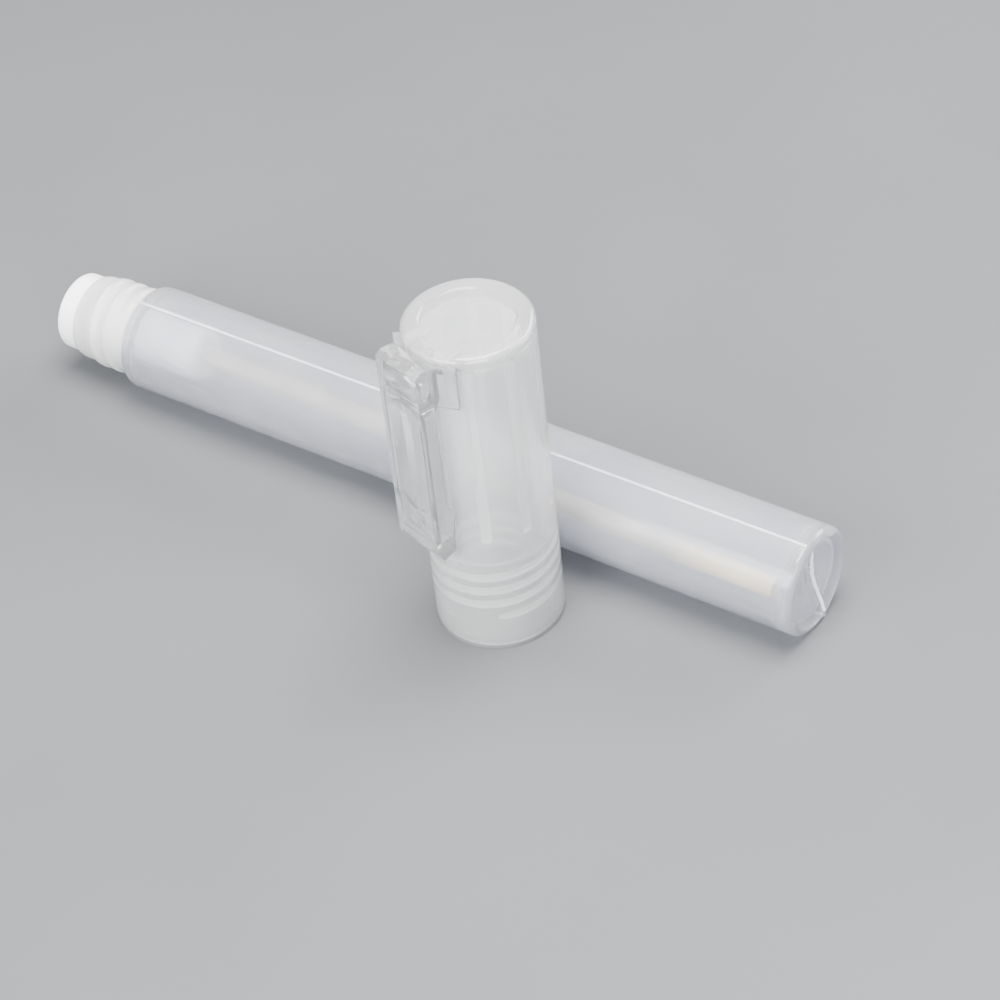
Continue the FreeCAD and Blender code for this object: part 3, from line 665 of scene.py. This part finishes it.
def clip_solid():
    """The clip in its own millimetres: bar, saddle, hollows, ears, prongs and the marks near its foot."""
    piece = prism("pocket_clip", side_outline(), -CLIP_HALF, CLIP_HALF, "side")
    combine(piece, prism("saddle", saddle_outline(), SADDLE_LOW, PRONG_HIGH, "up"), "UNION")
    combine(piece, prism("trough", trough_outline(), 5.0, WEB_INSIDE, "out"), "DIFFERENCE")
    combine(piece, prism("cavity", cavity_outline(), 8.7, WEB_INSIDE, "out"), "DIFFERENCE")
    for low, high in ((-CLIP_HALF, -TROUGH_HALF), (TROUGH_HALF, CLIP_HALF)):
        combine(piece, prism("ear", ear_outline(), low, high, "side"), "UNION")
    for sign in (-1, 1):
        combine(piece, prong("prong", sign, 0.0, -0.3), "UNION")
    for radius, up in ((1.5, 20.9), (0.95, 23.5)):
        mark = prism("mark", round_outline(0.0, up, radius), WEB_INSIDE - 0.5, WEB_INSIDE + 0.12, "out")
        combine(piece, mark, "DIFFERENCE")
    boss = prism("boss", round_outline(0.0, 20.9, 1.25), WEB_INSIDE - 0.08, WEB_INSIDE + 0.2, "out")
    return combine(piece, boss, "UNION")


def bevel_edges(piece, width):
    bevel = piece.modifiers.new("bevel", "BEVEL")
    bevel.width = width
    bevel.segments = 3
    bevel.limit_method = "ANGLE"
    bevel.angle_limit = math.radians(28)
    evaluated(piece)


def cut_across(piece, heights):
    """Adds rings of points across the piece at the heights."""
    work = bmesh.new()
    work.from_mesh(piece.data)
    for height in heights:
        everything = work.verts[:] + work.edges[:] + work.faces[:]
        bmesh.ops.bisect_plane(work, geom=everything, plane_co=(0, 0, height), plane_no=(0, 0, 1))
    work.to_mesh(piece.data)
    work.free()


def make_clip():
    piece = clip_solid()
    bevel_edges(piece, CLIP_BEVEL)
    cut_across(piece, np.linspace(19.0, ARM_TOP, 15))
    in_row_frame(piece)
    piece.data.shade_smooth()
    piece.data.set_sharp_from_angle(angle=math.radians(30))
    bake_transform(piece)
    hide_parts("clip_root", "clip_arm")
    return piece


# ------------------------------------------------------------------ spring

def spring_path(low, high):
    """Middle line of a helical spring with a closed coil at each end."""
    coil_radius = (high.y - low.y) / 2 - SPRING_WIRE
    closed_rise = 2 * SPRING_WIRE * SPRING_CLOSED
    open_turns = SPRING_TURNS - 2 * SPRING_CLOSED
    open_pitch = (high.x - low.x - 2 * SPRING_WIRE - 2 * closed_rise) / open_turns
    path = []
    for step in range(SPRING_STEPS + 1):
        turn = SPRING_TURNS * step / SPRING_STEPS
        x = min(turn, SPRING_CLOSED) * 2 * SPRING_WIRE
        x += np.clip(turn - SPRING_CLOSED, 0, open_turns) * open_pitch
        x += max(turn - SPRING_TURNS + SPRING_CLOSED, 0) * 2 * SPRING_WIRE
        y = coil_radius * math.cos(2 * math.pi * turn)
        z = coil_radius * math.sin(2 * math.pi * turn)
        path.append(Vector((low.x + SPRING_WIRE + x, BOTTLE_AXIS.y + y, BOTTLE_AXIS.z + z)))
    return path


def make_spring():
    """Spring from the cylinder's floor to the poppet's flange."""
    low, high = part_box("return_spring")
    piece = tube_mesh("coil_spring", spring_path(low, high), SPRING_WIRE, 10)
    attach(piece, "bottle")
    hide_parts("return_spring")
    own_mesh(piece)
    return piece


# ------------------------------------------------------------------ materials

def new_material(name):
    material = bpy.data.materials.new(name)
    material.use_nodes = True
    return material, material.node_tree, material.node_tree.nodes["Principled BSDF"]


def coordinate(tree, kind):
    """Texture coordinates of one kind."""
    return tree.nodes.new("ShaderNodeTexCoord").outputs[kind]


def part_of(tree, vector, axis):
    """One of a vector's three parts."""
    split = tree.nodes.new("ShaderNodeSeparateXYZ")
    tree.links.new(vector, split.inputs["Vector"])
    return split.outputs[axis]


def noise_of(tree, scale, detail=3.0, stretch=(1, 1, 1)):
    """Noise over the object's own metres, stretched along its axes."""
    mapping = tree.nodes.new("ShaderNodeMapping")
    mapping.inputs["Scale"].default_value = stretch
    texture = tree.nodes.new("ShaderNodeTexNoise")
    texture.inputs["Scale"].default_value = scale
    texture.inputs["Detail"].default_value = detail
    tree.links.new(coordinate(tree, "Object"), mapping.inputs["Vector"])
    tree.links.new(mapping.outputs["Vector"], texture.inputs["Vector"])
    return texture.outputs["Fac"]


def ramp(tree, value, low, high, start, end):
    """Colour from low to high as a value goes from start to end."""
    node = tree.nodes.new("ShaderNodeValToRGB")
    node.color_ramp.elements[0].position = start
    node.color_ramp.elements[0].color = (*low, 1)
    node.color_ramp.elements[1].position = end
    node.color_ramp.elements[1].color = (*high, 1)
    tree.links.new(value, node.inputs["Fac"])
    return node.outputs["Color"]


def spread(tree, value, low, high):
    """A value from 0 to 1 spread over low to high."""
    node = tree.nodes.new("ShaderNodeMapRange")
    node.inputs["To Min"].default_value = low
    node.inputs["To Max"].default_value = high
    tree.links.new(value, node.inputs["Value"])
    return node.outputs["Result"]


def tint(tree, colour, by):
    """One colour multiplied by another."""
    node = tree.nodes.new("ShaderNodeMix")
    node.data_type = "RGBA"
    node.blend_type = "MULTIPLY"
    node.inputs["Factor"].default_value = 1.0
    first, second = [socket for socket in node.inputs if socket.type == "RGBA"]
    tree.links.new(colour, first)
    tree.links.new(by, second)
    return next(socket for socket in node.outputs if socket.type == "RGBA")


def bump(tree, shader, value, strength, distance, below=None):
    """Adds bumps to the shader, on top of those below if there are any."""
    node = tree.nodes.new("ShaderNodeBump")
    node.inputs["Strength"].default_value = strength
    node.inputs["Distance"].default_value = distance
    tree.links.new(value, node.inputs["Height"])
    if below is not None:
        tree.links.new(below, node.inputs["Normal"])
    tree.links.new(node.outputs["Normal"], shader.inputs["Normal"])
    return node.outputs["Normal"]


def plastic(
    name, dark, light, roughness, ior=1.49, transmission=0.0, mottle=220, grain=5200, scatter=0.0, gloss=0.5
):
    """Moulded plastic: faint mottling in its colour, uneven gloss and a fine grain."""
    material, tree, shader = new_material(name)
    clouds = noise_of(tree, mottle)
    tree.links.new(ramp(tree, clouds, dark, light, 0.35, 0.65), shader.inputs["Base Color"])
    patches = noise_of(tree, mottle * 3, 2.0)
    tree.links.new(spread(tree, patches, *roughness), shader.inputs["Roughness"])
    shader.inputs["IOR"].default_value = ior
    shader.inputs["Transmission Weight"].default_value = transmission
    shader.inputs["Specular IOR Level"].default_value = gloss
    if scatter > 0:
        shader.inputs["Subsurface Weight"].default_value = scatter
        shader.inputs["Subsurface Radius"].default_value = (1.0, 0.95, 0.9)
        shader.inputs["Subsurface Scale"].default_value = 0.0012
    bump(tree, shader, noise_of(tree, grain, 2.0), 0.22, 0.00004)
    return material


def metal(name, colour, roughness):
    """Bare metal with a fine grain."""
    material, tree, shader = new_material(name)
    grain = noise_of(tree, 3000)
    darker = tuple(0.8 * part for part in colour)
    tree.links.new(ramp(tree, grain, darker, colour, 0.3, 0.7), shader.inputs["Base Color"])
    tree.links.new(spread(tree, grain, *roughness), shader.inputs["Roughness"])
    shader.inputs["Metallic"].default_value = 1.0
    bump(tree, shader, grain, 0.1, 0.00002)
    return material


def frosted_plastic():
    """Blown polypropylene: frosted, with a fine grain, faint draw lines and small scratches along it."""
    material = plastic(
        "frosted_polypropylene", (0.83, 0.85, 0.92), (0.91, 0.92, 0.97), (0.22, 0.265),
        transmission=0.865, mottle=160, grain=2100, gloss=0.35,
    )
    tree = material.node_tree
    shader = tree.nodes["Principled BSDF"]
    grain = shader.inputs["Normal"].links[0].from_socket
    lines = noise_of(tree, 900, 4.0, (0.06, 1, 1))
    drawn = bump(tree, shader, lines, 0.16, 0.00005, grain)
    scratches = ramp(tree, noise_of(tree, 1500, 1.0, (0.12, 1, 1)), (0, 0, 0), (1, 1, 1), 0.70, 0.74)
    bump(tree, shader, scratches, 0.4, 0.00006, drawn)
    return material


def tube_plastic():
    """Cream polyethylene, with painted shade that makes it duller and bluer than at its foot, which is the
    part that lies against the wall.
    """
    material = plastic("cream_polyethylene", (0.82, 0.60, 0.32), (0.89, 0.70, 0.42), (0.4, 0.5), ior=1.51)
    tree = material.node_tree
    colour = tree.nodes["Principled BSDF"].inputs["Base Color"]
    cream = colour.links[0].from_socket
    length = part_of(tree, coordinate(tree, "Generated"), "X")
    # painted shade: away from its foot the tube is darkened and blued, as if shaded and veiled by the frosted
    # wall
    painted_veil_shade = ramp(tree, length, (0.52, 0.60, 0.78), (1, 1, 1), 0.84, 0.91)
    tree.links.new(tint(tree, cream, painted_veil_shade), colour)
    return material


def paint(target, *materials):
    """Gives a piece or a CAD node its materials, in the order of its faces' material numbers.

    Clearing the list also sets every face to the first material, so an empty list is left alone.
    """
    if target.data.materials:
        target.data.materials.clear()
    for material in materials:
        target.data.materials.append(material)


def paint_bottle(piece):
    """Frosted outside and inside, with a raw white seam, a whiter neck, and parting lines painted a darker
    grey-blue as painted shade beside their ridges.
    """
    frosted = frosted_plastic()
    seam = plastic("seam_flash", (0.96, 0.97, 0.99), (0.99, 0.99, 0.99), (0.25, 0.35), mottle=300, grain=2100)
    # painted shade: the parting lines are a darker grey-blue, standing in for the thin shadow beside each
    # ridge
    parting = plastic(
        "parting_line_painted_shade", (0.52, 0.55, 0.62), (0.70, 0.73, 0.79), (0.25, 0.35),
        transmission=0.3, mottle=900, grain=2100,
    )
    neck = plastic(
        "neck_polypropylene", (0.93, 0.93, 0.93), (0.98, 0.975, 0.96), (0.20, 0.25),
        transmission=0.62, mottle=160, grain=2100, gloss=0.4,
    )
    paint(piece, frosted, frosted, seam, parting, neck)


def paint_cap(piece):
    """Satin outside and inside, with whiter ribs and thread ridges."""
    satin = plastic(
        "satin_polypropylene", (0.95, 0.96, 0.97), (0.985, 0.99, 0.99), (0.12, 0.17),
        transmission=0.80, mottle=120, grain=2600,
    )
    thick = plastic(
        "cap_ribs", (0.97, 0.98, 0.985), (0.99, 0.99, 0.99), (0.08, 0.14),
        transmission=0.40, mottle=120, grain=1500,
    )
    paint(piece, satin, satin, thick)


def paint_clip(piece):
    """Water-clear polystyrene."""
    clear = plastic(
        "clear_polystyrene", (0.95, 0.96, 0.97), (0.985, 0.99, 0.99), (0.015, 0.04),
        ior=1.59, transmission=0.91, mottle=90, grain=900,
    )
    paint(piece, clear)


def paint_cad_nodes():
    white = plastic("white_polypropylene", (0.92, 0.92, 0.90), (0.96, 0.96, 0.94), (0.30, 0.42))
    button = plastic(
        "button_polypropylene", (0.82, 0.83, 0.84), (0.88, 0.89, 0.90), (0.28, 0.40), scatter=0.4
    )
    soft = plastic("soft_polyethylene", (0.80, 0.80, 0.77), (0.86, 0.86, 0.83), (0.45, 0.6), ior=1.51)
    ball = metal("ground_ball", (0.68, 0.68, 0.69), (0.10, 0.18))
    finishes = (
        (white, ("stem", "poppet", "pump_housing", "pump_retainer")),
        (button, ("actuator", "nozzle_insert")),
        (soft, ("neck_gasket", "stem_seal", "piston")),
        (tube_plastic(), ("dip_tube",)),
        (ball, ("inlet_ball",)),
    )
    for material, nodes in finishes:
        for node in nodes:
            paint(frame["nodes"][node], material)


# ------------------------------------------------------------------ studio

def make_floor():
    mesh = bpy.data.meshes.new("floor")
    half = 2.5
    corners = [(-half, -half, 0), (half, -half, 0), (half, half, 0), (-half, half, 0)]
    mesh.from_pydata(corners, [], [(0, 1, 2, 3)])
    floor = bpy.data.objects.new("floor", mesh)
    bpy.context.scene.collection.objects.link(floor)
    material, tree, shader = new_material("pale_table")
    colour = ramp(tree, noise_of(tree, 14, 4.0), (0.088, 0.091, 0.097), (0.098, 0.101, 0.107), 0.3, 0.7)
    tree.links.new(colour, shader.inputs["Base Color"])
    shader.inputs["Roughness"].default_value = 0.55
    shader.inputs["Specular IOR Level"].default_value = 0.3
    bump(tree, shader, noise_of(tree, 2600), 0.15, 0.00005)
    floor.data.materials.append(material)


def area_light(name, place, width, height, power, colour):
    """Soft rectangular light that faces the origin."""
    light = bpy.data.lights.new(name, "AREA")
    light.shape = "RECTANGLE"
    light.size = width
    light.size_y = height
    light.energy = power
    light.color = colour
    lamp = bpy.data.objects.new(name, light)
    lamp.location = place
    lamp.rotation_euler = Vector(place).to_track_quat("Z", "Y").to_euler()
    bpy.context.scene.collection.objects.link(lamp)


def make_world():
    """Soft grey surroundings, lighter above than beside."""
    world = bpy.data.worlds.new("studio")
    world.use_nodes = True
    tree = world.node_tree
    background = tree.nodes["Background"]
    height = part_of(tree, coordinate(tree, "Generated"), "Z")
    sky = ramp(tree, height, (0.27, 0.273, 0.285), (0.42, 0.425, 0.44), 0.0, 0.75)
    tree.links.new(sky, background.inputs["Color"])
    background.inputs["Strength"].default_value = 1.0
    bpy.context.scene.world = world


def make_camera():
    azimuth = math.radians(CAMERA_AZIMUTH)
    elevation = math.radians(CAMERA_ELEVATION)
    level = Vector((math.sin(azimuth), -math.cos(azimuth), 0))
    back = level * math.cos(elevation) + UP * math.sin(elevation)
    data = bpy.data.cameras.new("camera")
    data.lens = CAMERA_LENS
    data.sensor_width = 36.0
    data.clip_start = 0.01
    camera = bpy.data.objects.new("camera", data)
    turn = back.to_track_quat("Z", "Y").to_matrix() @ Matrix.Rotation(math.radians(CAMERA_ROLL), 3, "Z")
    camera.matrix_world = Matrix.Translation(CAMERA_TARGET + back * CAMERA_DISTANCE) @ turn.to_4x4()
    bpy.context.scene.collection.objects.link(camera)
    bpy.context.scene.camera = camera


def make_studio():
    make_floor()
    make_world()
    make_camera()
    for name, (place, width, height, power, colour) in LIGHTS.items():
        area_light(name, place, width, height, power, colour)
    cycles = bpy.context.scene.cycles
    cycles.max_bounces = 24
    cycles.transmission_bounces = 20
    cycles.transparent_max_bounces = 16
    cycles.caustics_refractive = True


def main():
    bottle = make_bottle()
    cap = make_cap()
    clip = make_clip()
    spring = make_spring()
    paint_bottle(bottle)
    paint_cap(cap)
    paint_clip(clip)
    paint(spring, metal("drawn_wire", (0.62, 0.62, 0.61), (0.22, 0.34)))
    paint_cad_nodes()
    make_studio()


main()
